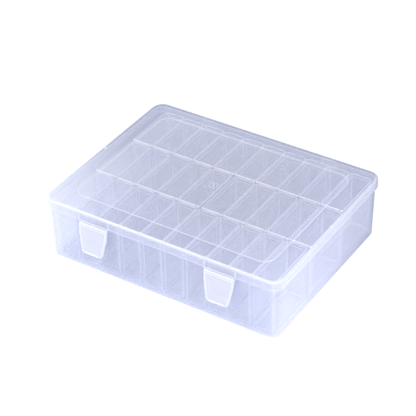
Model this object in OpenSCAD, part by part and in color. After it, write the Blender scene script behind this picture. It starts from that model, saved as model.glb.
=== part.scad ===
// Thread storage case: a hinged translucent case that holds three rows of
// small flip-top boxes. Millimetres, +Z up, front of the case towards -Y.
// The origin is on the table under the middle of the case.

/* [Case] */
// Length of the lid from side to side
lid_w = 230; // [210:1:250]
// Depth of the lid from front to back
lid_d = 178; // [166:1:196]
// Height from the table to the flat of the lid
case_h = 61; // [55:0.5:70]
// Radius of the lid's upright corners
corner_r = 11; // [8:0.5:14]
// Wall of the tray
wall_t = 1.4; // [1.2:0.1:1.8]
// Floor of the tray
floor_t = 2.2; // [1.8:0.1:3]
// How far each tray wall leans in from rim to floor
draft = 1; // [0.6:0.1:1.4]
// Rounding under the tray's outer bottom edge
edge_r = 3; // [2:0.5:4]
// Width of the flat foot ring under the tray
foot_w = 7; // [5:0.5:12]
// Height of the hollow inside the foot ring
foot_h = 0.8; // [0.4:0.1:1]

/* [Lid] */
// Height of the lid's skirt
skirt_h = 9.5; // [8:0.5:12]
// Wall of the skirt
skirt_t = 1.5; // [1.2:0.1:2]
// Plate of the lid
lid_t = 1.8; // [1.4:0.1:2.2]
// Air between the skirt and the tray
skirt_gap = 0.5; // [0.4:0.05:0.8]
// Rounding where the lid's top meets its skirt
shoulder_r = 2.5; // [1.5:0.5:3.5]
// Distance of the raised ridge from the lid's edges
ridge_inset = 18.3; // [16:0.1:22]
// Corner radius of the ridge
ridge_r = 12; // [8:0.5:16]
// Width of the ridge
ridge_w = 1.6; // [1:0.1:2.4]
// Height of the ridge
ridge_h = 0.7; // [0.4:0.1:1.2]
// Diameter of the moulding mark in the middle of the lid
gate_dia = 8; // [6:0.5:10]

/* [Latches] */
// Distance between the middles of the two latches
latch_spacing = 123; // [100:1:136]
// Width of a latch at its hinge
latch_w = 28; // [24:0.5:32]
// Width of a latch at its tip
latch_tip_w = 20; // [16:0.5:24]
// Length of a latch from hinge to tip
latch_len = 27; // [25:0.5:30]
// Plate of a latch
latch_t = 1.4; // [1:0.1:1.6]
// Radius of the rolled top edge of a latch
roll_r = 0.9; // [0.8:0.05:1]
// Lean of a closed latch away from the wall, in degrees
latch_lean = 8; // [4:0.5:10]
// Raised border round a latch: its width
border_w = 1.6; // [1.2:0.1:2]
// Raised border round a latch: its height
border_h = 0.4; // [0.3:0.05:0.6]
// Width of the catch and of the hook that passes under it
catch_w = 14; // [10:0.5:16]

/* [Hinges] */
// Distance between the middles of the two back hinges
hinge_spacing = 124; // [90:1:150]
// Width of a lid knuckle
knuckle_w = 12; // [8:0.5:18]
// Radius of the knuckles
knuckle_r = 3.2; // [3:0.1:3.6]
// Radius of the hinge pins
pin_r = 1.6; // [1.4:0.05:1.8]
// Running clearance round a hinge pin
pin_gap = 0.05; // [0.02:0.01:0.1]
// Thickness of each ear on the tray
ear_t = 2.4; // [2:0.1:3]
// Distance of the hinge pins behind the lid's back face
pin_back = 3; // [2.8:0.1:4]

/* [Small boxes] */
// Spare room along a row of small boxes
row_slack = 9.6; // [6:0.2:12]
// Extra gap where the middle row has parted
middle_gap = 2; // [0:0.1:4]
// Spare room across the three rows
depth_slack = 1.2; // [0.8:0.1:3]
// Air between the small boxes and the closed lid
headroom = 2.4; // [1.5:0.1:5]
// Air between neighbouring boxes in a row
box_gap = 0.4; // [0.35:0.05:0.6]
// Air between the rows
row_gap = 0.5; // [0.4:0.05:0.7]
// Radius of the small boxes' edges
box_r = 3; // [2:0.25:3.5]
// Wall of a small box
box_wall = 1.1; // [0.8:0.1:1.4]
// Lid plate of a small box
flip_t = 1.3; // [1:0.1:1.6]
// Depth of the rim that plugs a small box
plug_h = 2.2; // [1.5:0.1:3]
// Air between the plug rim and the box wall
plug_gap = 0.2; // [0.15:0.05:0.3]
// Width of each film hinge on a small box
strap_w = 4.5; // [3:0.25:6]
// Space between the two film hinges
strap_space = 4; // [3:0.25:5]
// Air between the closed flip lid and the rim of the tub
flip_gap = 0.15; // [0.1:0.05:0.3]

/* [Hidden] */
COLUMNS = 10;
ROWS = ["front", "middle", "back"];
LATCHES = ["latch_left", "latch_right"];
function box_name(row, column) = str("small_box_", ROWS[row], "_", column + 1);
BOXES = [for (row = [0 : len(ROWS) - 1]) for (column = [0 : COLUMNS - 1]) box_name(row, column)];

fine = 64;
seat_gap = 0.3;        // air between pieces that rest on each other
film = 0.02;           // thickness of the slices that a smooth shell is drawn over
sink = 0.5;            // depth to which a rib or ear is rooted in its wall

overhang = skirt_t + skirt_gap;
tray_w = lid_w - 2 * overhang;
tray_d = lid_d - 2 * overhang;
tray_r = corner_r - overhang;
lid_under = case_h - lid_t;
rim_z = lid_under - seat_gap;
skirt_z = case_h - skirt_h;

hinge_y = lid_d / 2 + pin_back;
hinge_z = skirt_z - sink - knuckle_r;
ear_air = 0.3;         // side air between a knuckle and its ears

lip_t = 1.4;           // height of the lip that carries a latch
lip_out = 0.9;         // how far that lip stands out of the skirt
latch_y = -lid_d / 2 - lip_out;
latch_z = skirt_z - seat_gap - roll_r;
catch_drop = 12;       // from latch hinge down to the top of the catch
catch_h = 3;
catch_out = 1.5;
hook_h = 2.4;
hook_drop = 0.6;       // air between catch and hook
hook_air = 0.1;        // air between hook tip and catch tip

box_z = floor_t + seat_gap;
box_h = lid_under - headroom - box_z;
box_w = (tray_w - 2 * (wall_t + lean(floor_t)) - row_slack - (COLUMNS - 1) * box_gap) / COLUMNS;
box_d = (tray_d - 2 * (wall_t + lean(floor_t)) - depth_slack - (len(ROWS) - 1) * row_gap) / len(ROWS);
pitch_x = box_w + box_gap;
pitch_y = box_d + row_gap;

// The tray's inner corners are rounder than the boxes, so a corner box stops short of the side wall
corner_play = tray_r - wall_t - lean(floor_t) - box_r;
corner_room = corner_play
    - sqrt(max(pow(corner_play - seat_gap, 2) - pow(corner_play - depth_slack / 2, 2), 0));
outer_shift = row_slack / 2 - corner_room;
middle_shift = row_slack / 2 - seat_gap;

case_colour = [0.86, 0.88, 0.95, 0.45];
lid_colour = [0.84, 0.86, 0.94, 0.4];
latch_colour = [0.94, 0.95, 1, 0.9];
box_colour = [0.8, 0.82, 0.92, 0.5];

// Half the tray's outer depth or width is this much less at height z
function lean(z) = draft * (rim_z - z) / rim_z;

module rounded_rect(w, d, r, smooth = fine) {
    square([w - 2 * r, d], center = true);
    square([w, d - 2 * r], center = true);
    for (sx = [-1, 1], sy = [-1, 1])
        translate([sx * (w / 2 - r), sy * (d / 2 - r)]) circle(r, $fn = smooth);
}

// A slice at height z, drawn in by inset from a w by d outline
module slice(w, d, r, inset, z, thick = film) {
    translate([0, 0, z])
        linear_extrude(thick) rounded_rect(w - 2 * inset, d - 2 * inset, max(r - inset, film), 32);
}

module tray_outside() {
    hull() {
        for (a = [0 : 22.5 : 90])
            slice(tray_w, tray_d, tray_r, lean(0) + edge_r * (1 - cos(a)), edge_r * (1 - sin(a)));
        slice(tray_w, tray_d, tray_r, 0, rim_z - film);
    }
}

module tray_inside() {
    round_in = edge_r - 1;
    hull() {
        for (a = [0 : 30 : 90])
            slice(tray_w, tray_d, tray_r, wall_t + lean(floor_t) + round_in * (1 - cos(a)),
                floor_t + round_in * (1 - sin(a)));
        slice(tray_w, tray_d, tray_r, wall_t, rim_z);
    }
}

// The wedge on the front wall that a latch hook passes under
module catch() {
    top = latch_z - catch_drop;
    wall_y = -(tray_d / 2 - lean(top - catch_h));
    translate([-catch_w / 2, 0, 0]) rotate([90, 0, 90]) linear_extrude(catch_w)
        polygon([
            [wall_y + sink, top], [wall_y, top], [wall_y - catch_out, top - catch_h * 0.7],
            [wall_y - catch_out, top - catch_h], [wall_y + sink, top - catch_h]
        ]);
}

module ear() {
    wall_y = tray_d / 2 - lean(hinge_z);
    difference() {
        union() {
            translate([0, hinge_y, hinge_z]) rotate([0, 90, 0]) cylinder(r = knuckle_r, h = ear_t, $fn = fine);
            translate([0, wall_y - sink, hinge_z - knuckle_r])
                cube([ear_t, hinge_y - wall_y + sink, 2 * knuckle_r]);
        }
        translate([-1, hinge_y, hinge_z]) rotate([0, 90, 0])
            cylinder(r = pin_r + pin_gap, h = ear_t + 2, $fn = fine);
    }
}

module case_tray() {
    foot_out = lean(0) + edge_r + foot_w;
    color(case_colour) {
        difference() {
            tray_outside();
            tray_inside();
            translate([0, 0, -1]) linear_extrude(foot_h + 1)
                rounded_rect(tray_w - 2 * foot_out, tray_d - 2 * foot_out, tray_r);
        }
        for (side = [-1, 1]) {
            translate([side * latch_spacing / 2, 0, 0]) catch();
            for (end = [-1, 1])
                translate([side * hinge_spacing / 2 + end * (knuckle_w / 2 + ear_air + ear_t / 2) - ear_t / 2, 0, 0])
                    ear();
        }
    }
}

module lid_outside() {
    hull() {
        slice(lid_w, lid_d, corner_r, 0, skirt_z, skirt_h - shoulder_r);
        for (a = [22.5 : 22.5 : 90])
            slice(lid_w, lid_d, corner_r, shoulder_r * (1 - cos(a)),
                case_h - film - shoulder_r * (1 - sin(a)));
    }
}

module lid_inside() {
    translate([0, 0, skirt_z - 1]) linear_extrude(lid_under - skirt_z + 1)
        rounded_rect(lid_w - 2 * skirt_t, lid_d - 2 * skirt_t, corner_r - skirt_t);
}

module ridge() {
    w = lid_w - 2 * ridge_inset;
    d = lid_d - 2 * ridge_inset;
    translate([0, 0, case_h - sink]) linear_extrude(ridge_h + sink) difference() {
        rounded_rect(w, d, ridge_r);
        rounded_rect(w - 2 * ridge_w, d - 2 * ridge_w, ridge_r - ridge_w);
    }
}

// The ring and nub that the moulding leaves in the middle of the lid
module gate_mark() {
    groove = 0.8;
    translate([0, 0, case_h - 0.4]) difference() {
        cylinder(d = gate_dia, h = 1, $fn = fine);
        translate([0, 0, -1]) cylinder(d = gate_dia - 2 * groove, h = 3, $fn = fine);
    }
}

// The lip on the skirt that a latch hangs from, with a rib at each end
module latch_seat() {
    rib = 1.2;
    translate([-latch_w / 2, -lid_d / 2 - lip_out, skirt_z]) cube([latch_w, lip_out + sink, lip_t]);
    for (side = [-1, 1])
        translate([side * (latch_w / 2 + rib / 2) - rib / 2, -lid_d / 2 - lip_out, skirt_z])
            cube([rib, lip_out + sink, skirt_h - shoulder_r]);
}

// A knuckle under the back of the skirt, with its two hinge pins
module knuckle() {
    reach = knuckle_w / 2 + ear_air + ear_t;
    inner_y = lid_d / 2 - skirt_t + sink;
    translate([-knuckle_w / 2, 0, 0]) rotate([90, 0, 90]) linear_extrude(knuckle_w)
        union() {
            translate([hinge_y, hinge_z]) circle(knuckle_r, $fn = fine);
            polygon([
                [inner_y, skirt_z + 1], [lid_d / 2 - sink, skirt_z + knuckle_r + 3],
                [lid_d / 2, skirt_z + knuckle_r + 3], [hinge_y + knuckle_r, hinge_z],
                [hinge_y, hinge_z], [hinge_y - knuckle_r, hinge_z], [inner_y, skirt_z - sink]
            ]);
        }
    translate([-reach, hinge_y, hinge_z]) rotate([0, 90, 0]) cylinder(r = pin_r, h = 2 * reach, $fn = fine);
}

module case_lid() {
    color(lid_colour) {
        difference() {
            lid_outside();
            lid_inside();
            gate_mark();
        }
        ridge();
        translate([0, 0, case_h - sink]) cylinder(d = 1.6, h = sink + 0.4, $fn = fine);
        for (side = [-1, 1]) {
            translate([side * latch_spacing / 2, 0, 0]) latch_seat();
            translate([side * hinge_spacing / 2, 0, 0]) knuckle();
        }
    }
}

// Outline of a latch, hanging down from its hinge, with round tip corners
module latch_outline() {
    tip_r = 3;
    top = latch_w / 2;
    tip = latch_tip_w / 2;
    polygon(concat(
        [[-top, 0], [top, 0], [top - 0.6, -latch_len / 3]],
        [for (a = [0 : 15 : 90]) [tip - tip_r + tip_r * cos(a), tip_r - latch_len - tip_r * sin(a)]],
        [for (a = [90 : 15 : 180]) [tip_r - tip + tip_r * cos(a), tip_r - latch_len - tip_r * sin(a)]],
        [[0.6 - top, -latch_len / 3]]
    ));
}

// The raised border starts below the roll, so that the open latch clears its lip
module latch_plate() {
    rotate([90, 0, 0]) {
        translate([0, 0, -latch_t / 2]) linear_extrude(latch_t) latch_outline();
        translate([0, 0, latch_t / 2 - film]) linear_extrude(border_h + film) difference() {
            latch_outline();
            offset(delta = -border_w) latch_outline();
            translate([-latch_w, -roll_r]) square(2 * latch_w);
        }
    }
}

module latch() {
    hook_top = -catch_drop - catch_h - hook_drop;
    wall_y = -(tray_d / 2 - lean(latch_z - catch_drop - catch_h));
    hook_tip = wall_y - catch_out - hook_air - latch_y;
    hook_root = (hook_top - hook_h) * tan(latch_lean);
    rotate([-latch_lean, 0, 0]) {
        latch_plate();
        translate([-latch_w / 2, 0, 0]) rotate([0, 90, 0]) cylinder(r = roll_r, h = latch_w, $fn = fine);
        translate([-latch_tip_w / 2 + 3, -latch_t / 2, 1 - latch_len]) rotate([0, 90, 0])
            cylinder(r = 1, h = latch_tip_w - 6, $fn = fine);
    }
    translate([-catch_w / 2, hook_root, hook_top - hook_h])
        cube([catch_w, hook_tip - hook_root, hook_h]);
}

// A box body with every edge but the upper ones rounded
module rounded_block(w, d, h, r) {
    intersection() {
        linear_extrude(h) rounded_rect(w, d, r);
        translate([0, d, 0]) rotate([90, 0, 0]) linear_extrude(2 * d) round_foot(w, h, r);
        translate([-w, 0, 0]) rotate([90, 0, 90]) linear_extrude(2 * w) round_foot(d, h, r);
    }
}

module round_foot(w, h, r) {
    translate([-w / 2, r]) square([w, h]);
    translate([r - w / 2, 0]) square([w - 2 * r, h]);
    for (side = [-1, 1]) translate([side * (w / 2 - r), r]) circle(r, $fn = fine);
}

// The open tub of a small box, with a nail notch in its front wall
module tub() {
    tub_h = box_h - flip_t - flip_gap;
    notch_r = 6;
    notch_deep = 1.8;
    difference() {
        rounded_block(box_w, box_d, tub_h, box_r);
        translate([0, 0, box_wall])
            rounded_block(box_w - 2 * box_wall, box_d - 2 * box_wall, tub_h, box_r - box_wall);
        translate([0, box_wall - box_d / 2 + film, tub_h + notch_r - notch_deep]) rotate([90, 0, 0])
            cylinder(r = notch_r, h = box_wall + 1, $fn = fine);
    }
}

// The flip lid of a small box: plate, plug rim and the two film hinges that
// make it one moulding with its tub
module flip_lid() {
    hinge_set = 1.4;
    rim_w = box_w - 2 * (box_wall + plug_gap);
    rim_d = box_d - 2 * (box_wall + plug_gap);
    rim_r = box_r - box_wall - plug_gap;
    difference() {
        linear_extrude(flip_t) rounded_rect(box_w, box_d, box_r);
        translate([-box_w / 2 - 1, box_d / 2 - hinge_set, -1]) cube([box_w + 2, hinge_set + 1, flip_t + 2]);
        translate([0, 0, flip_t - 0.3]) cylinder(d = 2, h = 1, $fn = fine);
    }
    translate([0, 0, -plug_h]) linear_extrude(plug_h + flip_t / 2) difference() {
        rounded_rect(rim_w, rim_d, rim_r);
        rounded_rect(rim_w - 2 * box_wall, rim_d - 2 * box_wall, max(rim_r - box_wall, 0.3));
    }
    for (side = [-1, 1])
        translate([side * (strap_space + strap_w) / 2 - strap_w / 2, box_d / 2 - hinge_set - sink, 0]) {
            cube([strap_w, hinge_set + sink - 0.2, 0.5]);
            translate([0, hinge_set + sink - 0.8, -flip_gap - 0.3]) cube([strap_w, 0.6, 0.5 + flip_gap]);
        }
}

// The loose boxes have slid to the right, and the middle row has parted behind its fifth box
function slid(row, column) =
    ROWS[row] != "middle" ? outer_shift
    : column < COLUMNS / 2 ? middle_shift - middle_gap : middle_shift;

module small_box(row, column) {
    x = (column - (COLUMNS - 1) / 2) * pitch_x + slid(row, column);
    y = (row - (len(ROWS) - 1) / 2) * pitch_y;
    color(box_colour) translate([x, y, box_z]) {
        tub();
        translate([0, 0, box_h - flip_t]) flip_lid();
    }
}

module placed_latch(side) {
    color(latch_colour) translate([side * latch_spacing / 2, latch_y, latch_z]) latch();
}

case_tray();
case_lid();
placed_latch(-1);
placed_latch(1);
for (row = [0 : len(ROWS) - 1], column = [0 : COLUMNS - 1])
    small_box(row, column);
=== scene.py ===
# %% [markdown]
# # A translucent case with thirty small boxes
# The case is moulded in milky plastic: a tray, a hinged lid and two latches. Inside stand three rows of
# ten small boxes, each with its own flip lid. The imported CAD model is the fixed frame: it says where
# every piece is and which body it moves with. Each piece is modelled again here with soft edges, because
# the light on those thin edges is what makes clear plastic look like plastic.

# %% Load the frame
import math

import bmesh
import bpy
from mathutils import Matrix, Vector


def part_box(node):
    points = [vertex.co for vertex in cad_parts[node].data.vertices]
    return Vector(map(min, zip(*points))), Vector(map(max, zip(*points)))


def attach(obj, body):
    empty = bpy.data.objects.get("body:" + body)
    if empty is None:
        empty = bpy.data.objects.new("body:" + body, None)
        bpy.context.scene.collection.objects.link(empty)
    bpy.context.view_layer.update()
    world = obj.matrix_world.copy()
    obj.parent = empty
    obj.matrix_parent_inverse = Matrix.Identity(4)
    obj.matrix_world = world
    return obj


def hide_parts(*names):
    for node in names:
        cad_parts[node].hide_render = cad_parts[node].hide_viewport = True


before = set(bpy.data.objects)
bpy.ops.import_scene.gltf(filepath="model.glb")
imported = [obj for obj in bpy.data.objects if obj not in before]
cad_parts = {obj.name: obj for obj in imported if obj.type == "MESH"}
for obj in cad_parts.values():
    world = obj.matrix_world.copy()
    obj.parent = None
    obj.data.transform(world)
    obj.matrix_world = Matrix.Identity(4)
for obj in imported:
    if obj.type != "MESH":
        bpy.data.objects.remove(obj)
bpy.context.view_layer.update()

# %% [markdown]
# ## Sizes
# The sizes are millimetres, as on a drawing, and the place of each piece is read from the frame. A piece
# is modelled in millimetres and scaled to metres once, when it is finished.

# %% Sizes read from the frame
MM = 0.001


def box_mm(node):
    low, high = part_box(node)
    return low / MM, high / MM


lid_low, lid_high = box_mm("case_lid")
tray_low, tray_high = box_mm("case_tray")
LID_W = lid_high.x - lid_low.x
TRAY_W = tray_high.x - tray_low.x
RIM_Z = tray_high.z
RIDGE_H = 0.7
CASE_H = lid_high.z - RIDGE_H
print(f"lid {LID_W:.1f} wide, tray {TRAY_W:.1f} wide, rim at {RIM_Z:.1f}, lid flat at {CASE_H:.1f}")

# %% Sizes of the shells
LID_D = 178.0
OVERHANG = (LID_W - TRAY_W) / 2
TRAY_D = LID_D - 2 * OVERHANG
CORNER_R = 11.0
LID_T = 1.8
SKIRT_T = 1.5
SKIRT_H = 9.5
SKIRT_Z = CASE_H - SKIRT_H
LID_UNDER = CASE_H - LID_T
WALL_T = 1.4
FLOOR_T = 2.2
DRAFT = 1.0
print(f"skirt from {SKIRT_Z:.1f} to {CASE_H:.1f}, lid plate from {LID_UNDER:.1f}")

# %% [markdown]
# ## Tools for thin shells
# A moulded shell is a stack of rounded outlines: up the outside, over the rim and down the inside. One
# outline is a square face with its four corner points bevelled, which leaves true arcs. Bridging each
# outline to the next gives the skin, and a face closes the first and the last. A cube that is bevelled and
# hollowed would do as well, but here each line of the stack is a size that can be read and changed.

# %% A rounded outline
ARC = 8
FULL_ROUND = 0.98


def outline(bm, width, depth, radius, height, centre=(0, 0), steps=ARC):
    """The edges of a rounded rectangle that lies at one height."""
    before = set(bm.edges)
    corners = bmesh.ops.create_grid(bm, x_segments=1, y_segments=1, size=0.5)["verts"]
    bmesh.ops.scale(bm, verts=corners, vec=(width, depth, 1))
    bmesh.ops.translate(bm, verts=corners, vec=(*centre, height))
    bmesh.ops.bevel(bm, geom=corners, offset=radius, segments=steps, affect="VERTICES", profile=0.5,
                    material=-1)
    edges = [edge for edge in bm.edges if edge not in before]
    faces = list({face for edge in edges for face in edge.link_faces})
    bmesh.ops.delete(bm, geom=faces, context="FACES_ONLY")
    return edges


def circle(bm, radius, height, steps=ARC):
    """A square whose corners are bevelled nearly to the middle of its sides, which leaves a circle."""
    return outline(bm, 2 * radius, 2 * radius, radius * FULL_ROUND, height, steps=steps)


# %% A skin over a stack of outlines
def skin(bm, loops):
    """Bridge the loops in turn, and close the first and the last."""
    for lower, upper in zip(loops, loops[1:]):
        bmesh.ops.bridge_loops(bm, edges=lower + upper)
    for end in (loops[0], loops[-1]):
        bmesh.ops.edgeloop_fill(bm, edges=end)


def quarter(radius, steps):
    """How far a quarter round draws in, and how far it still has to rise, at each step."""
    turns = [math.pi / 2 * step / steps for step in range(steps + 1)]
    return [(radius * (1 - math.cos(turn)), radius * (1 - math.sin(turn))) for turn in turns]


# %% Plain solids for small parts
SOFT_EDGE = 0.2


def block(bm, low, high, edge=0.0):
    """A box between two corners, with its edges softened."""
    verts = bmesh.ops.create_cube(bm, size=1)["verts"]
    size = [b - a for a, b in zip(low, high)]
    middle = [(a + b) / 2 for a, b in zip(low, high)]
    bmesh.ops.scale(bm, verts=verts, vec=size)
    bmesh.ops.translate(bm, verts=verts, vec=middle)
    if edge:
        edges = list({e for v in verts for e in v.link_edges})
        verts = bmesh.ops.bevel(bm, geom=edges, offset=edge, segments=2, affect="EDGES", profile=0.5,
                                material=-1)["verts"]
    return verts


def rod(bm, start, end, radius, segments=24):
    """A round bar along X from start to end."""
    length = end[0] - start[0]
    turn = Matrix.Rotation(math.pi / 2, 4, "Y")
    place = Matrix.Translation(((start[0] + end[0]) / 2, start[1], start[2])) @ turn
    return bmesh.ops.create_cone(bm, cap_ends=True, segments=segments, radius1=radius, radius2=radius,
                                 depth=length, matrix=place)["verts"]


# %% A ball for a small nub
def nub(bm, place, radius):
    return bmesh.ops.create_uvsphere(bm, u_segments=12, v_segments=8, radius=radius,
                                     matrix=Matrix.Translation(place))["verts"]


# %% [markdown]
# ## Where the plastic gathers light
# Clear plastic is hardly seen on its flats. It shows at its edges and rounds, where light that ran along
# inside the wall comes out. So each face gets a number named edge: how sharply it bends from its
# neighbour, in radians per millimetre, up to the widest strip that still counts as an edge. The material
# reads that number and makes those faces denser, as the plastic is, and paler, which is a painted
# highlight. So the bright lines follow the shape, and no line on a bend is placed by hand. Upright
# walls can be given some haze of their own, and a few small features a stronger painted highlight.

# %% The number on each face
WIDEST_EDGE = 1.2
FULL_BEND = 0.5
UPRIGHT = 0.5


def mark_edges_and_painted_highlights(bm, share, haze, painted_highlights):
    """Store on each face its edge number, shown as density and a paler painted highlight: from its bend, the
    walls' haze or a listed painted highlight.
    """
    edge = bm.faces.layers.float.new("edge")
    for face in bm.faces:
        face[edge] = haze if abs(face.normal.z) < UPRIGHT else 0
        longest = max(face.edges, key=lambda side: side.calc_length())
        width = face.calc_area() / longest.calc_length()
        if width < WIDEST_EDGE and len(longest.link_faces) == 2:
            bend = longest.calc_face_angle(0) / width
            face[edge] = max(face[edge], share * min(bend / FULL_BEND, 1))
    for verts, value in painted_highlights:
        for face in {face for vert in verts for face in vert.link_faces}:
            face[edge] = value


# %% Finishing a piece
def finish_piece(name, bm, material, body, nodes, share=1.0, haze=0.0, painted_highlights=()):
    """Scale to metres, point the faces outwards, smooth the rounds and hand the piece to its body."""
    bmesh.ops.recalc_face_normals(bm, faces=bm.faces)
    mark_edges_and_painted_highlights(bm, share, haze, painted_highlights)
    bmesh.ops.scale(bm, verts=bm.verts, vec=(MM, MM, MM))
    mesh = bpy.data.meshes.new(name)
    bm.to_mesh(mesh)
    bm.free()
    mesh.shade_smooth()
    mesh.set_sharp_from_angle(angle=math.radians(40))
    mesh.materials.append(material)
    piece = bpy.data.objects.new(name, mesh)
    bpy.context.scene.collection.objects.link(piece)
    flats = piece.modifiers.new("keep the flats flat", "WEIGHTED_NORMAL")
    flats.keep_sharp = True
    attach(piece, body)
    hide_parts(*nodes)
    print(name, len(mesh.polygons), "faces")
    return piece


# %% [markdown]
# ## Milky plastic
# The real plastic is polypropylene without pigment. It lets most light through, scatters some of it, and
# has a soft gloss. Glass with a volume inside would show this too, but thirty boxes of it are slow and
# noisy. Here the principled shader has a low alpha on the flats, more where a wall is seen from the side,
# and most on the faces that gather light, which are also painted paler: a painted highlight. Behind many
# walls the haze adds up by itself. Slow noise clouds the colour and the gloss a little, as flowing plastic
# does, and a fine grain lies in the bump.

# %% A helper for moulded plastic
REFRACTION = 1.49
CLEAR_UP_TO = 0.3


def moulded_plastic(name, tints, rim, face_density, rim_density, gloss, cloud_scale, grain_scale,
                    grain_height):
    """Plastic that is clear on its flats, denser on its edges and where it turns away, and painted paler on
    its edges as a painted highlight.
    """
    material = bpy.data.materials.new(name)
    material.use_nodes = True
    nodes = material.node_tree.nodes
    links = material.node_tree.links
    surface = nodes["Principled BSDF"]
    surface.inputs["IOR"].default_value = REFRACTION
    place = nodes.new("ShaderNodeTexCoord")
    edge = nodes.new("ShaderNodeAttribute")
    edge.attribute_name = "edge"

    cloud = nodes.new("ShaderNodeTexNoise")
    cloud.inputs["Scale"].default_value = cloud_scale
    cloud.inputs["Detail"].default_value = 3
    links.new(place.outputs["Object"], cloud.inputs["Vector"])
    tint = nodes.new("ShaderNodeValToRGB")
    for element, position, colour in zip(tint.color_ramp.elements, (0.3, 0.7), tints):
        element.position = position
        element.color = (*colour, 1)
    links.new(cloud.outputs["Fac"], tint.inputs["Fac"])
    # Faces with a high edge number take the paler rim colour: a painted highlight.
    colour = nodes.new("ShaderNodeMix")
    colour.data_type = "RGBA"
    colour.inputs["B"].default_value = (*rim, 1)
    links.new(edge.outputs["Fac"], colour.inputs["Factor"])
    links.new(tint.outputs["Color"], colour.inputs["A"])
    links.new(colour.outputs["Result"], surface.inputs["Base Color"])

    turn = nodes.new("ShaderNodeLayerWeight")
    turn.inputs["Blend"].default_value = 0.5
    depth = nodes.new("ShaderNodeMapRange")
    depth.interpolation_type = "SMOOTHSTEP"
    depth.inputs["From Min"].default_value = CLEAR_UP_TO
    depth.inputs["To Min"].default_value = face_density[0]
    depth.inputs["To Max"].default_value = face_density[1]
    links.new(turn.outputs["Facing"], depth.inputs["Value"])
    density = nodes.new("ShaderNodeMix")
    density.inputs["B"].default_value = rim_density
    links.new(edge.outputs["Fac"], density.inputs["Factor"])
    links.new(depth.outputs["Result"], density.inputs["A"])
    links.new(density.outputs["Result"], surface.inputs["Alpha"])

    sheen = nodes.new("ShaderNodeMapRange")
    sheen.inputs["To Min"].default_value = gloss[0]
    sheen.inputs["To Max"].default_value = gloss[1]
    links.new(cloud.outputs["Fac"], sheen.inputs["Value"])
    links.new(sheen.outputs["Result"], surface.inputs["Roughness"])

    grain = nodes.new("ShaderNodeTexNoise")
    grain.inputs["Scale"].default_value = grain_scale
    grain.inputs["Detail"].default_value = 2
    links.new(place.outputs["Object"], grain.inputs["Vector"])
    bump = nodes.new("ShaderNodeBump")
    bump.inputs["Strength"].default_value = 0.3
    bump.inputs["Distance"].default_value = grain_height
    links.new(grain.outputs["Fac"], bump.inputs["Height"])
    links.new(bump.outputs["Normal"], surface.inputs["Normal"])
    return material


# %% The four finishes
# Each rim colour is paler than its tints; the edges and listed features that take it carry a painted
# highlight.
tray_plastic = moulded_plastic(
    "tray plastic", tints=((0.77, 0.80, 0.95), (0.83, 0.86, 1.0)), rim=(0.94, 0.95, 1.0),
    face_density=(0.09, 0.4), rim_density=0.45, gloss=(0.15, 0.28),
    cloud_scale=18, grain_scale=600, grain_height=0.0002)
lid_plastic = moulded_plastic(
    "lid plastic", tints=((0.80, 0.83, 0.96), (0.85, 0.88, 1.0)), rim=(0.96, 0.97, 1.0),
    face_density=(0.07, 0.4), rim_density=0.6, gloss=(0.14, 0.24),
    cloud_scale=14, grain_scale=500, grain_height=0.00003)
latch_plastic = moulded_plastic(
    "latch plastic", tints=((0.78, 0.80, 0.90), (0.82, 0.84, 0.93)), rim=(0.87, 0.88, 0.95),
    face_density=(0.6, 0.75), rim_density=0.85, gloss=(0.35, 0.5),
    cloud_scale=60, grain_scale=2500, grain_height=0.0002)
box_plastic = moulded_plastic(
    "box plastic", tints=((0.76, 0.80, 0.98), (0.81, 0.85, 1.0)), rim=(1.0, 0.99, 1.0),
    face_density=(0.05, 0.28), rim_density=1.0, gloss=(0.15, 0.25),
    cloud_scale=30, grain_scale=900, grain_height=0.00003)
print("finishes:", tray_plastic.name, lid_plastic.name, latch_plastic.name, box_plastic.name)

# %% Shares of the gathered light: how dense each piece's bends get, and how much painted highlight
TRAY_SHARE = 0.55
LID_SHARE = 0.6
BOX_SHARE = 0.35
WALL_HAZE = 0.15
RIB_PAINTED_HIGHLIGHT = 0.35
BORDER_PAINTED_HIGHLIGHT = 0.6
LIP_AND_NUB_PAINTED_HIGHLIGHT = 1

# %% [markdown]
# ## The tray
# The tray is one deep moulding. Its walls lean in towards the floor so that it leaves the mould, the
# outer bottom edge is round, and it stands on a flat foot ring. Two wedges on the front wall catch the
# latches, and four ears at the back carry the hinge pins of the lid.

# %% Tray shell
EDGE_R = 3.0
FOOT_W = 7.0
FOOT_H = 0.8
RIM_SOFT = 0.3


def lean(height):
    return DRAFT * (RIM_Z - height) / RIM_Z


def tray_loop(bm, inset, height):
    radius = max(CORNER_R - OVERHANG - inset, 1.0)
    return outline(bm, TRAY_W - 2 * inset, TRAY_D - 2 * inset, radius, height)


def tray_shell(bm):
    foot_inset = lean(0) + EDGE_R + FOOT_W
    stack = [(foot_inset, FOOT_H), (foot_inset, 0)]
    for step in range(6):
        turn = math.pi / 2 * step / 5
        stack.append((lean(0) + EDGE_R * (1 - math.sin(turn)), EDGE_R * (1 - math.cos(turn))))
    stack.append((0, RIM_Z - RIM_SOFT))
    stack.append((RIM_SOFT, RIM_Z))
    stack.append((WALL_T - RIM_SOFT, RIM_Z))
    stack.append((WALL_T, RIM_Z - RIM_SOFT))
    inner_r = EDGE_R - 1
    for step in range(5):
        turn = math.pi / 2 * step / 4
        drawn = inner_r * (1 - math.cos(turn))
        stack.append((WALL_T + lean(FLOOR_T) + drawn, FLOOR_T + inner_r * (1 - math.sin(turn))))
    skin(bm, [tray_loop(bm, inset, height) for inset, height in stack])


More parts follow.
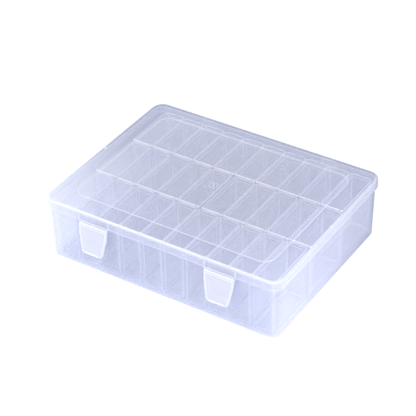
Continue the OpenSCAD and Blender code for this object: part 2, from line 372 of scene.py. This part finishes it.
# %% Catches and hinge ears
LATCH_DROP = 1.2
CATCH_DROP = 12.0
PIN_BACK = 3.0
SINK = 0.5
LATCH_X = (box_mm("latch_right")[0].x + box_mm("latch_right")[1].x) / 2
LATCH_Z = SKIRT_Z - LATCH_DROP
CATCH_W = 14.0
CATCH_H = 3.0
CATCH_OUT = 1.5
CATCH_TOP = LATCH_Z - CATCH_DROP
HINGE_X = 62.0
HINGE_Y = LID_D / 2 + PIN_BACK
KNUCKLE_R = 3.2
KNUCKLE_W = 12.0
HINGE_Z = SKIRT_Z - SINK - KNUCKLE_R
EAR_T = 2.4
EAR_AIR = 0.3
PIN_R = 1.6


def catch(bm, x):
    wall_y = -(TRAY_D / 2 - lean(CATCH_TOP - CATCH_H))
    low = (x - CATCH_W / 2, wall_y - CATCH_OUT, CATCH_TOP - CATCH_H)
    high = (x + CATCH_W / 2, wall_y + SINK, CATCH_TOP)
    verts = block(bm, low, high)
    for vert in verts:
        if vert.co.y < wall_y and vert.co.z > CATCH_TOP - 1:
            vert.co.y = wall_y


def ear(bm, x):
    wall_y = TRAY_D / 2 - lean(HINGE_Z)
    low = (x, wall_y - SINK, HINGE_Z - KNUCKLE_R)
    block(bm, low, (x + EAR_T, HINGE_Y, HINGE_Z + KNUCKLE_R), SOFT_EDGE)
    rod(bm, (x, HINGE_Y, HINGE_Z), (x + EAR_T, HINGE_Y, HINGE_Z), KNUCKLE_R)


# %% Tray
bm = bmesh.new()
tray_shell(bm)
for side in (-1, 1):
    catch(bm, side * LATCH_X)
    for end in (-1, 1):
        ear(bm, side * HINGE_X + end * (KNUCKLE_W / 2 + EAR_AIR + EAR_T / 2) - EAR_T / 2)
finish_piece("tray_shell", bm, tray_plastic, "tray", ["case_tray"], share=TRAY_SHARE,
             haze=WALL_HAZE)

# %% [markdown]
# ## The lid
# The lid is a shallow moulding with a soft shoulder, a skirt that hides the tray's rim, and a low raised
# ridge that runs round the top and stiffens it. In the middle is the ring that the moulding left. All of
# these are outlines of one stack, so the skin runs on from the shoulder over the ridge to the middle.
# Added solids make the seats of the latches, the knuckles behind and three small nubs.

# %% Lid shell
SHOULDER_R = 2.5
RIDGE_INSET = 18.3
RIDGE_CORNER = 12.0
RIDGE_W = 1.6
GATE_R = 4.0
GATE_RING = 0.8
GATE_DEEP = 0.4
GATE_SOFT = 0.15
KNOB_R = 0.8
KNOB_TOP_R = 0.6
KNOB_H = 0.4
SKIRT_SOFT = 0.25
SKIRT_ROUND = 0.5
RIDGE_FLANK = 0.35


def lid_loop(bm, inset, height):
    return outline(bm, LID_W - 2 * inset, LID_D - 2 * inset, max(CORNER_R - inset, 0.8), height)


def ridge_loop(bm, inward, height):
    inset = RIDGE_INSET + inward
    return outline(bm, LID_W - 2 * inset, LID_D - 2 * inset, RIDGE_CORNER - inward, height)


def lid_shell(bm):
    soft = SKIRT_SOFT
    rim = SKIRT_ROUND
    stack = [(SKIRT_T + soft, LID_UNDER), (SKIRT_T, LID_UNDER - soft), (SKIRT_T, SKIRT_Z + soft),
             (SKIRT_T - soft, SKIRT_Z), (rim, SKIRT_Z), (0.3 * rim, SKIRT_Z + 0.3 * rim), (0, SKIRT_Z + rim)]
    for drawn, rise in quarter(SHOULDER_R, 6):
        stack.append((drawn, CASE_H - rise))
    loops = [lid_loop(bm, inset, height) for inset, height in stack]
    flank = RIDGE_FLANK
    for inward, height in ((0, 0), (flank, RIDGE_H * 0.8), (RIDGE_W * 0.4, RIDGE_H),
                           (RIDGE_W * 0.6, RIDGE_H), (RIDGE_W - flank, RIDGE_H * 0.8), (RIDGE_W, 0)):
        loops.append(ridge_loop(bm, inward, CASE_H + height))
    inner = GATE_R - GATE_RING
    for radius, rise in ((GATE_R, 0), (GATE_R - GATE_SOFT, -GATE_DEEP), (inner + GATE_SOFT, -GATE_DEEP),
                         (inner, 0), (KNOB_R, 0), (KNOB_TOP_R, KNOB_H)):
        loops.append(circle(bm, radius, CASE_H + rise))
    skin(bm, loops)


# %% Latch seats and hinge knuckles
LATCH_W = 28.0
LIP_T = 1.4
LIP_OUT = 0.9
RIB = 1.2
RIB_SOFT = 0.3


def latch_seat(bm, x):
    """The lip that the latch hangs from, and the rib at each of its ends."""
    face_y = -LID_D / 2
    low = (x - LATCH_W / 2, face_y - LIP_OUT, SKIRT_Z)
    block(bm, low, (x + LATCH_W / 2, face_y + SINK, SKIRT_Z + LIP_T), SOFT_EDGE)
    ribs = []
    for end in (-1, 1):
        rib_x = x + end * (LATCH_W / 2 + RIB / 2)
        ribs += block(bm, (rib_x - RIB / 2, face_y - LIP_OUT, SKIRT_Z),
                      (rib_x + RIB / 2, face_y + SINK, CASE_H - SHOULDER_R), RIB_SOFT)
    return ribs


def knuckle(bm, x):
    """The arm behind the skirt with the two hinge pins."""
    back_y = LID_D / 2
    low = (x - KNUCKLE_W / 2, back_y - SKIRT_T + SINK, HINGE_Z)
    verts = block(bm, low, (x + KNUCKLE_W / 2, HINGE_Y + KNUCKLE_R, SKIRT_Z + KNUCKLE_R + 3))
    for vert in verts:
        if vert.co.y > HINGE_Y and vert.co.z > HINGE_Z + 1:
            vert.co.y = back_y
        if vert.co.y < back_y and vert.co.z < HINGE_Z + 1:
            vert.co.z = SKIRT_Z - SINK
    rod(bm, (x - KNUCKLE_W / 2, HINGE_Y, HINGE_Z), (x + KNUCKLE_W / 2, HINGE_Y, HINGE_Z), KNUCKLE_R)
    reach = KNUCKLE_W / 2 + EAR_AIR + EAR_T
    rod(bm, (x - reach, HINGE_Y, HINGE_Z), (x + reach, HINGE_Y, HINGE_Z), PIN_R)


# %% Lid
GATE_NUB_R = 0.85
GATE_NUB_SUNK = 0.2
SIDE_NUB_R = 1.2
SIDE_NUB_IN = 1.0
SIDE_NUB_Y = 1.0
bm = bmesh.new()
lid_shell(bm)
ribs = []
for side in (-1, 1):
    ribs += latch_seat(bm, side * LATCH_X)
    knuckle(bm, side * HINGE_X)
nubs = nub(bm, (0, 0, CASE_H - GATE_NUB_SUNK), GATE_NUB_R)
for side in (-1, 1):
    nub_x = side * (LID_W / 2 - SIDE_NUB_IN - SIDE_NUB_R)
    nubs += nub(bm, (nub_x, SIDE_NUB_Y, CASE_H - SIDE_NUB_R), SIDE_NUB_R)
# The ribs and the three nubs are painted paler and denser: a painted highlight.
finish_piece("lid_shell", bm, lid_plastic, "lid", ["case_lid"], share=LID_SHARE,
             haze=WALL_HAZE, painted_highlights=[(ribs, RIB_PAINTED_HIGHLIGHT), (nubs, LIP_AND_NUB_PAINTED_HIGHLIGHT)])

# %% [markdown]
# ## The latches
# A latch is a small tapered plate with a raised border. It hangs from a thin film hinge under the lid's
# lip and snaps over the wedge on the tray. It is thicker and frosted, so it is the palest part of the
# case. The plate is one face with round tip corners: extruded, inset for the border and sunk between. It
# starts a little below the hinge, so that the open latch clears the lip that it hangs from.

# %% Latch plate
LATCH_LEN = 27.0
LATCH_TIP_W = 20.0
LATCH_T = 1.4
ROLL_R = 0.9
LATCH_LEAN = math.radians(8)
LATCH_Y = -LID_D / 2 - LIP_OUT
TIP_R = 3.0
BORDER_W = 1.6
BORDER_H = 0.4
BORDER_SOFT = 0.15
PLATE_TOP = -0.6
SHOULDER_IN = 0.6
THUMB_R = 1.0
THUMB_SHORT = 3.0


def latch_plate(bm):
    """The plate in its own plane: X across, Z up, its outside towards -Y."""
    top = LATCH_W / 2
    tip = LATCH_TIP_W / 2
    shoulder = -LATCH_LEN / 3
    points = [(-top, PLATE_TOP), (top, PLATE_TOP), (top - SHOULDER_IN, shoulder), (tip, -LATCH_LEN),
              (-tip, -LATCH_LEN), (SHOULDER_IN - top, shoulder)]
    verts = [bm.verts.new((x, LATCH_T / 2, z)) for x, z in points]
    bm.faces.new(verts)
    bmesh.ops.bevel(bm, geom=verts[3:5], offset=TIP_R, segments=6, affect="VERTICES", profile=0.5,
                    material=-1)
    moved = bmesh.ops.extrude_face_region(bm, geom=bm.faces[:])["geom"]
    front = [part for part in moved if isinstance(part, bmesh.types.BMFace)]
    front_verts = [part for part in moved if isinstance(part, bmesh.types.BMVert)]
    bmesh.ops.translate(bm, verts=front_verts, vec=(0, -LATCH_T - BORDER_H, 0))
    border = bmesh.ops.inset_region(bm, faces=front, thickness=BORDER_W, use_even_offset=True)["faces"]
    bmesh.ops.inset_region(bm, faces=front, thickness=BORDER_SOFT, use_even_offset=True)
    inner = list({vert for face in front for vert in face.verts})
    bmesh.ops.translate(bm, verts=inner, vec=(0, BORDER_H, 0))
    return list({vert for face in border for vert in face.verts})


# %% Latch with its roll, lip and hook
HOOK_H = 2.4
HOOK_DROP = 0.6
HOOK_AIR = 0.1


def latch(bm, x):
    border = latch_plate(bm)
    rod(bm, (-LATCH_W / 2, 0, 0), (LATCH_W / 2, 0, 0), ROLL_R)
    thumb = LATCH_TIP_W / 2 - THUMB_SHORT
    thumb_z = THUMB_R - LATCH_LEN
    rod(bm, (-thumb, -LATCH_T / 2, thumb_z), (thumb, -LATCH_T / 2, thumb_z), THUMB_R)
    bmesh.ops.rotate(bm, verts=bm.verts, cent=(0, 0, 0), matrix=Matrix.Rotation(-LATCH_LEAN, 3, "X"))
    hook_top = CATCH_TOP - CATCH_H - HOOK_DROP - LATCH_Z
    hook_root = (hook_top - HOOK_H) * math.tan(LATCH_LEAN)
    wall_y = -(TRAY_D / 2 - lean(CATCH_TOP - CATCH_H))
    hook_tip = wall_y - CATCH_OUT - HOOK_AIR - LATCH_Y
    block(bm, (-CATCH_W / 2, hook_root, hook_top - HOOK_H), (CATCH_W / 2, hook_tip, hook_top), SOFT_EDGE)
    bmesh.ops.translate(bm, verts=bm.verts, vec=(x, LATCH_Y, LATCH_Z))
    return border


# The raised border is painted paler and denser than the plate: a painted highlight.
for side, word in ((-1, "left"), (1, "right")):
    bm = bmesh.new()
    border = latch(bm, side * LATCH_X)
    finish_piece(f"{word}_latch_plate", bm, latch_plastic, f"{word}_latch", [f"latch_{word}"],
                 painted_highlights=[(border, BORDER_PAINTED_HIGHLIGHT)])

# %% [markdown]
# ## The small boxes
# Each small box is a thin tub with round edges and a flip lid on two film hinges, made in one shot. The
# thirty are alike, so one pair of functions models a box about its own middle, and a loop moves each box
# to its node's place. A thumb lip along the front of the flip lid and a nub at each of its front corners
# catch the light, and are painted nearly white and opaque as well, a painted highlight. They show through
# the case lid as rows of short bright lines.

# %% Tub of a small box
BOX_ARC = 5
BOX_R = 3.0
BOX_WALL = 1.1
FLIP_T = 1.3
FLIP_GAP = 0.15
PLUG_H = 2.2
PLUG_GAP = 0.2
box_low, box_high = box_mm("small_box_front_1")
BOX_W = box_high.x - box_low.x
BOX_D = box_high.y - box_low.y
BOX_H = box_high.z - box_low.z
TUB_H = BOX_H - FLIP_T - FLIP_GAP
print(f"small box {BOX_W:.2f} x {BOX_D:.2f} x {BOX_H:.2f}")


def box_loop(bm, inset, height):
    return outline(bm, BOX_W - 2 * inset, BOX_D - 2 * inset, max(BOX_R - inset, 0.4), height, steps=BOX_ARC)


def tub(bm):
    stack = []
    for step in range(5):
        turn = math.pi / 2 * step / 4
        stack.append((BOX_R * (1 - math.sin(turn)), BOX_R * (1 - math.cos(turn))))
    stack.append((0, TUB_H - SOFT_EDGE))
    stack.append((SOFT_EDGE, TUB_H))
    stack.append((BOX_WALL - SOFT_EDGE, TUB_H))
    stack.append((BOX_WALL, TUB_H - SOFT_EDGE))
    inner_r = BOX_R - BOX_WALL
    for step in range(4):
        turn = math.pi / 2 * step / 3
        stack.append((BOX_WALL + inner_r * (1 - math.cos(turn)), BOX_WALL + inner_r * (1 - math.sin(turn))))
    skin(bm, [box_loop(bm, inset, height) for inset, height in stack])


# %% Flip lid of a small box
HINGE_SET = 1.4
STRAP_W = 4.5
STRAP_SPACE = 4.0
STRAP_T = 0.5
STRAP_SHORT = 0.2
STRAP_SOFT = 0.1
PLUG_CORNER = 0.6
FLIP_SOFT = 0.5
DIMPLE_R = 1.0
DIMPLE_SOFT = 0.1
DIMPLE_DEEP = 0.3
LIP_R = 0.8
NUB_R = 0.9
NUB_IN = BOX_R * 0.4


def flip_lid(bm):
    bottom = BOX_H - FLIP_T
    plug = BOX_WALL + PLUG_GAP
    depth = BOX_D - HINGE_SET
    centre = (0, -HINGE_SET / 2)
    rim_w = BOX_W - 2 * plug
    rim_d = BOX_D - 2 * plug
    rim_r = BOX_R - plug
    well_w = rim_w - 2 * BOX_WALL
    well_d = rim_d - 2 * BOX_WALL
    loops = [outline(bm, well_w, well_d, PLUG_CORNER, bottom, steps=BOX_ARC),
             outline(bm, well_w, well_d, PLUG_CORNER, bottom - PLUG_H, steps=BOX_ARC),
             outline(bm, rim_w, rim_d, rim_r, bottom - PLUG_H, steps=BOX_ARC),
             outline(bm, rim_w, rim_d, rim_r, bottom, steps=BOX_ARC)]
    shoulder = [(drawn, BOX_H - rise) for drawn, rise in quarter(FLIP_SOFT, 3)]
    for inset, height in [(0, bottom)] + shoulder:
        loops.append(outline(bm, BOX_W - 2 * inset, depth - 2 * inset, BOX_R - inset, height, centre,
                             BOX_ARC))
    for radius, drop in ((DIMPLE_R, 0), (DIMPLE_R - DIMPLE_SOFT, DIMPLE_DEEP)):
        loops.append(circle(bm, radius, BOX_H - drop, BOX_ARC))
    skin(bm, loops)
    front = -BOX_D / 2
    lip = BOX_W / 2 - BOX_R
    lip_z = BOX_H - LIP_R
    # The thumb lip and the two nubs are returned to be painted nearly white, a painted highlight.
    painted_glint_verts = rod(bm, (-lip, front + LIP_R, lip_z), (lip, front + LIP_R, lip_z), LIP_R, 12)
    for side in (-1, 1):
        corner = (side * (BOX_W / 2 - NUB_IN), front + NUB_IN, BOX_H - NUB_R)
        painted_glint_verts += nub(bm, corner, NUB_R)
    back = BOX_D / 2
    for side in (-1, 1):
        x = side * (STRAP_SPACE + STRAP_W) / 2
        low = (x - STRAP_W / 2, back - HINGE_SET - SINK, bottom)
        block(bm, low, (x + STRAP_W / 2, back - STRAP_SHORT, bottom + STRAP_T), STRAP_SOFT)
    return painted_glint_verts


# %% Thirty boxes
ROWS = ("front", "middle", "back")
COLUMNS = 10
for row in ROWS:
    for column in range(1, COLUMNS + 1):
        node = f"small_box_{row}_{column}"
        low, high = box_mm(node)
        bm = bmesh.new()
        tub(bm)
        painted_glint_verts = flip_lid(bm)
        bmesh.ops.translate(bm, verts=bm.verts, vec=((low.x + high.x) / 2, (low.y + high.y) / 2, low.z))
        # The thumb lip and corner nubs are painted nearly white and opaque: a painted highlight.
        finish_piece(f"{row}_box_{column}", bm, box_plastic, f"box_{row}_{column}", [node],
                     share=BOX_SHARE, painted_highlights=[(painted_glint_verts, LIP_AND_NUB_PAINTED_HIGHLIGHT)])

# %% [markdown]
# ## Floor, light and camera
# The ground is pure white, but the case isn't white: through it one sees a table that is grey-lavender
# behind the case and paler in front. This table is painted light and shade: its dark back is painted
# shade, and its pale front, which also glows a little, is painted light. Rays that reach the floor or the
# world straight from the camera find white, and rays that came through plastic find the painted table in
# the studio's light. Part of the white floor is lit by the lamps, so the case still throws a faint shadow.
# Two softboxes, left and right, draw the glints along the front edges.

# %% What the camera sees straight on
def seen_direct(tree):
    """1 where the camera or a mirror image sees the stage itself, and 0 through the plastic."""
    path = tree.nodes.new("ShaderNodeLightPath")
    seen = tree.nodes.new("ShaderNodeMath")
    seen.operation = "MAXIMUM"
    tree.links.new(path.outputs["Is Camera Ray"], seen.inputs[0])
    tree.links.new(path.outputs["Is Glossy Ray"], seen.inputs[1])
    straight = tree.nodes.new("ShaderNodeMath")
    straight.operation = "LESS_THAN"
    straight.inputs[1].default_value = 0.5
    tree.links.new(path.outputs["Transparent Depth"], straight.inputs[0])
    both = tree.nodes.new("ShaderNodeMath")
    both.operation = "MULTIPLY"
    tree.links.new(seen.outputs[0], both.inputs[0])
    tree.links.new(straight.outputs[0], both.inputs[1])
    return both.outputs[0]


# %% Floor
# The table's colours are painted: pale in front as painted light, dark at the back as painted shade, and its
# glow is painted light too.
TABLE_FRONT_PAINTED_LIGHT = (0.84, 0.87, 1.0, 1)
TABLE_BACK_PAINTED_SHADE = (0.23, 0.25, 0.38, 1)
FADE_FROM = -0.06
FADE_TO = 0.13
FLOOR_SIZE = 12
FLOOR_DROP = 0.0002
TABLE_PAINTED_GLOW = 0.15
WHITE_SHARE = 0.7
WHITE_GLOW = 1.35


def painted_table_light_and_shade(tree):
    """Painted light and shade on the table: pale in front as painted light, and darker towards the back as
    painted shade.
    """
    place = tree.nodes.new("ShaderNodeTexCoord")
    parts = tree.nodes.new("ShaderNodeSeparateXYZ")
    tree.links.new(place.outputs["Object"], parts.inputs["Vector"])
    fade = tree.nodes.new("ShaderNodeMapRange")
    fade.interpolation_type = "SMOOTHSTEP"
    fade.inputs["From Min"].default_value = FADE_FROM
    fade.inputs["From Max"].default_value = FADE_TO
    tree.links.new(parts.outputs["Y"], fade.inputs["Value"])
    light_and_shade_sheet = tree.nodes.new("ShaderNodeMix")
    light_and_shade_sheet.data_type = "RGBA"
    light_and_shade_sheet.inputs["A"].default_value = TABLE_FRONT_PAINTED_LIGHT
    light_and_shade_sheet.inputs["B"].default_value = TABLE_BACK_PAINTED_SHADE
    tree.links.new(fade.outputs["Result"], light_and_shade_sheet.inputs["Factor"])
    return light_and_shade_sheet.outputs["Result"]


def white_floor():
    bpy.ops.mesh.primitive_plane_add(size=FLOOR_SIZE, location=(0, 0, -FLOOR_DROP))
    floor = bpy.context.object
    floor.name = "floor"
    material = bpy.data.materials.new("table with painted light and shade")
    material.use_nodes = True
    tree = material.node_tree
    paint = tree.nodes["Principled BSDF"]
    # The table takes the painted light and shade as its colour and as a faint glow.
    light_and_shade_sheet = painted_table_light_and_shade(tree)
    tree.links.new(light_and_shade_sheet, paint.inputs["Base Color"])
    tree.links.new(light_and_shade_sheet, paint.inputs["Emission Color"])
    paint.inputs["Emission Strength"].default_value = TABLE_PAINTED_GLOW
    paint.inputs["Roughness"].default_value = 0.9
    paint.inputs["Specular IOR Level"].default_value = 0
    glow = tree.nodes.new("ShaderNodeEmission")
    glow.inputs["Strength"].default_value = WHITE_GLOW
    share = tree.nodes.new("ShaderNodeMath")
    share.operation = "MULTIPLY"
    share.inputs[1].default_value = WHITE_SHARE
    tree.links.new(seen_direct(tree), share.inputs[0])
    mix = tree.nodes.new("ShaderNodeMixShader")
    tree.links.new(share.outputs[0], mix.inputs["Fac"])
    tree.links.new(paint.outputs["BSDF"], mix.inputs[1])
    tree.links.new(glow.outputs["Emission"], mix.inputs[2])
    tree.links.new(mix.outputs["Shader"], tree.nodes["Material Output"].inputs["Surface"])
    floor.data.materials.append(material)
    return floor


floor = white_floor()
print("floor:", floor.name, "fades from", FADE_FROM, "to", FADE_TO, "metres")

# %% World
STUDIO_STRENGTH = 0.78
world = bpy.data.worlds.new("white studio")
bpy.context.scene.world = world
world.use_nodes = True
tree = world.node_tree
studio = tree.nodes["Background"]
studio.inputs["Color"].default_value = (1, 1, 1, 1)
studio.inputs["Strength"].default_value = STUDIO_STRENGTH
white = tree.nodes.new("ShaderNodeBackground")
white.inputs["Color"].default_value = (1, 1, 1, 1)
white.inputs["Strength"].default_value = 1.0
mix = tree.nodes.new("ShaderNodeMixShader")
tree.links.new(seen_direct(tree), mix.inputs["Fac"])
tree.links.new(studio.outputs["Background"], mix.inputs[1])
tree.links.new(white.outputs["Background"], mix.inputs[2])
tree.links.new(mix.outputs["Shader"], tree.nodes["World Output"].inputs["Surface"])
print("world:", world.name)


# %% Lamps
def softbox(name, place, target, size, power):
    data = bpy.data.lights.new(name, "AREA")
    data.shape = "SQUARE"
    data.size = size
    data.energy = power
    lamp = bpy.data.objects.new(name, data)
    bpy.context.scene.collection.objects.link(lamp)
    lamp.location = place
    lamp.rotation_euler = (Vector(place) - Vector(target)).to_track_quat("Z", "Y").to_euler()
    return lamp


CASE_MIDDLE = (0, 0, 0.03)
left = softbox("left softbox", (-0.45, -0.45, 0.65), CASE_MIDDLE, size=0.22, power=2.5)
right = softbox("right softbox", (0.7, -0.25, 0.45), CASE_MIDDLE, size=0.4, power=2.9)
print("lamps:", left.data.energy, "and", right.data.energy, "watts")

# %% Camera
AZIMUTH = math.radians(32.630)
ELEVATION = math.radians(36.185)
ROLL = math.radians(-0.942)
DISTANCE = 1.31597
TARGET = Vector(CASE_MIDDLE)
FOCAL_PX = 1531.64
PHOTO_PX = 416
MIDDLE_X = 214.01
MIDDLE_Y = 214.89


def photo_camera():
    back = Vector((math.sin(AZIMUTH) * math.cos(ELEVATION), -math.cos(AZIMUTH) * math.cos(ELEVATION),
                   math.sin(ELEVATION)))
    data = bpy.data.cameras.new("photo camera")
    data.sensor_width = 36
    data.lens = FOCAL_PX / PHOTO_PX * data.sensor_width
    data.shift_x = (PHOTO_PX / 2 - MIDDLE_X) / PHOTO_PX
    data.shift_y = (MIDDLE_Y - PHOTO_PX / 2) / PHOTO_PX
    data.clip_start = 0.05
    data.clip_end = 30
    camera = bpy.data.objects.new("photo camera", data)
    bpy.context.scene.collection.objects.link(camera)
    aim = back.to_track_quat("Z", "Y").to_matrix().to_4x4()
    camera.matrix_world = Matrix.Translation(TARGET + back * DISTANCE) @ aim @ Matrix.Rotation(ROLL, 4, "Z")
    bpy.context.scene.camera = camera
    return camera


camera = photo_camera()
print("camera at", tuple(round(value, 4) for value in camera.location))

# %% Colour handling, and how many clear walls a ray may pass
CLEAR_WALLS = 48
scene = bpy.context.scene
scene.view_settings.view_transform = "Standard"
scene.cycles.transparent_max_bounces = CLEAR_WALLS

# %% Update the view layer
bpy.context.view_layer.update()
